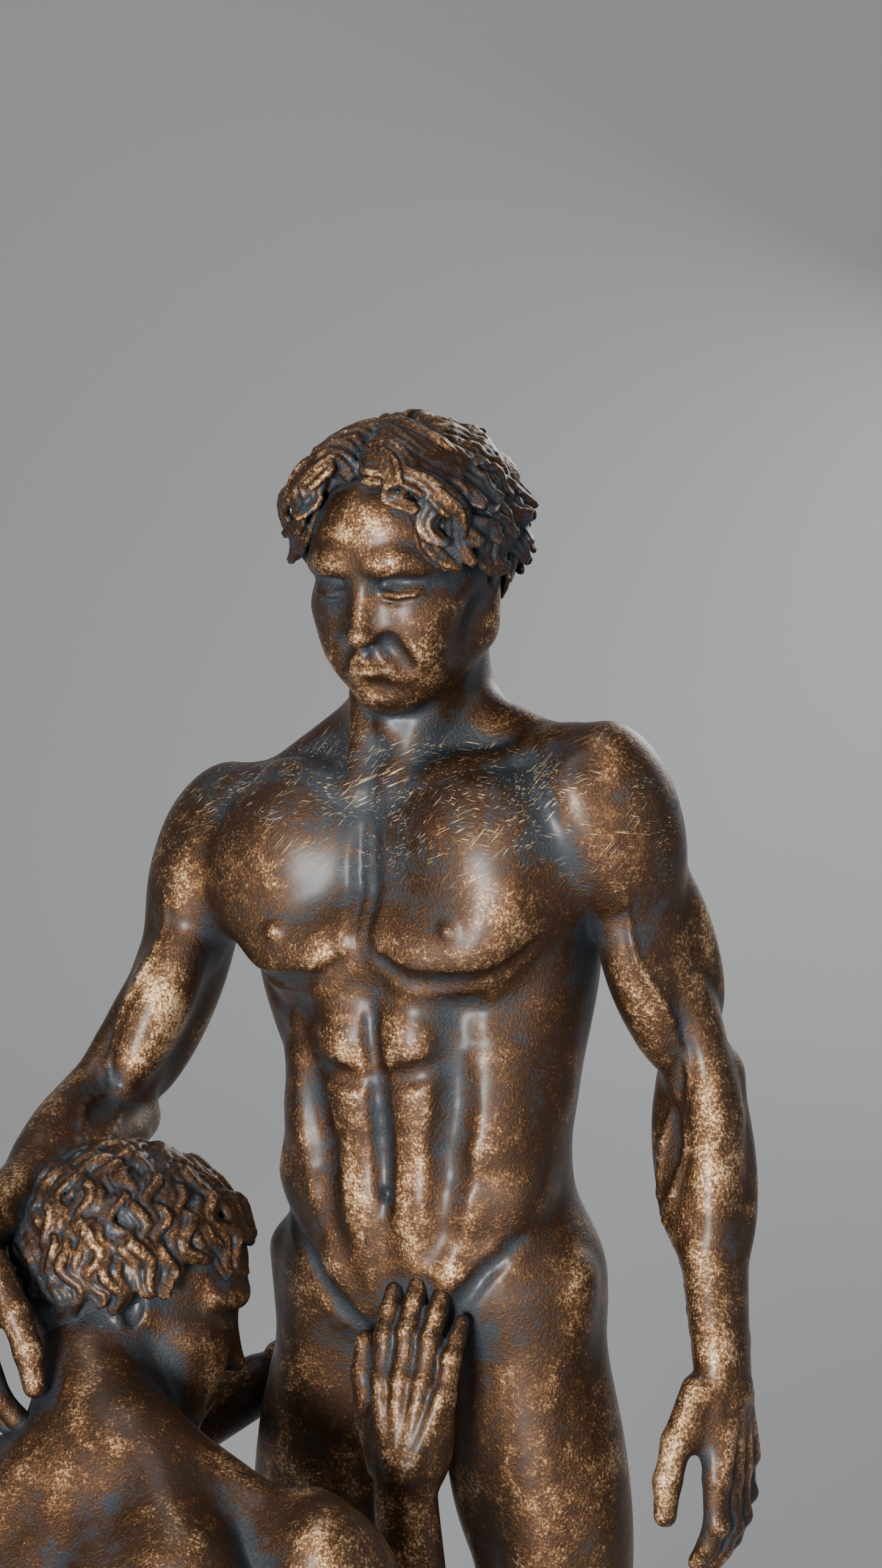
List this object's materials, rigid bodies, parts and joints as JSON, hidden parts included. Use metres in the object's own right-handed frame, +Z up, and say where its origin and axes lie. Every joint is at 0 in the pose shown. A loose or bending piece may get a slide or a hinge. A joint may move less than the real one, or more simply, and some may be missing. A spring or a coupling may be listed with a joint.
{
  "type": "embracing couple statue",
  "caption": "Statuette of a standing nude man and a kneeling man who holds him, cast in one piece and set on a low round-cornered base.",
  "frame": {"origin": "middle of the base's underside, on the surface that the statue stands on", "axes": "+Z up along the standing figure, -Y the way the standing figure faces, +X to the standing figure's left"},
  "size_m": [0.1344, 0.202, 0.3168],
  "materials": {
    "patinated_bronze_paint": "cast resin under blue-black paint, brushed with copper brown and pale bronze on the raised forms, semi-gloss",
    "dark_bronze_paint": "the same blue-black paint with little bronze brushed over it, semi-gloss"
  },
  "bodies": {
    "root": {"embracing_men": "patinated_bronze_paint", "base": "dark_bronze_paint"}
  },
  "joints": []
}
